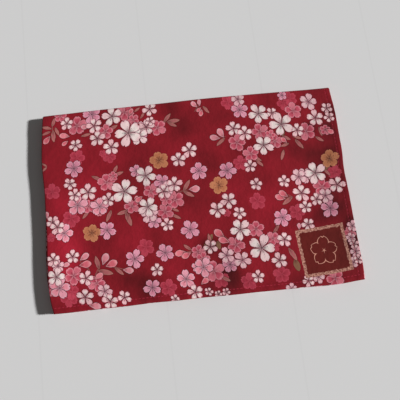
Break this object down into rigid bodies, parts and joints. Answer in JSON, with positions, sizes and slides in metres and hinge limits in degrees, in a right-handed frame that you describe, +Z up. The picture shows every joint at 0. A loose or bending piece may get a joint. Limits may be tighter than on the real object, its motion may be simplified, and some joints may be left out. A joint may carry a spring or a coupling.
{
  "type": "folded handkerchief",
  "caption": "Square cotton handkerchief with a blossom print, folded in half and then in thirds into a flat rectangular stack.",
  "frame": {"origin": "middle of the folded stack's underside, at the middle of its outline seen from above", "axes": "+X along the long side, from the fold in half to the open hems; +Y from the near edge to the far fold; +Z up out of the stack"},
  "size_m": [0.2308, 0.1534, 0.0087],
  "materials": {
    "printed_cotton": "matte"
  },
  "bodies": {
    "root": {"handkerchief": "printed_cotton"}
  },
  "joints": []
}
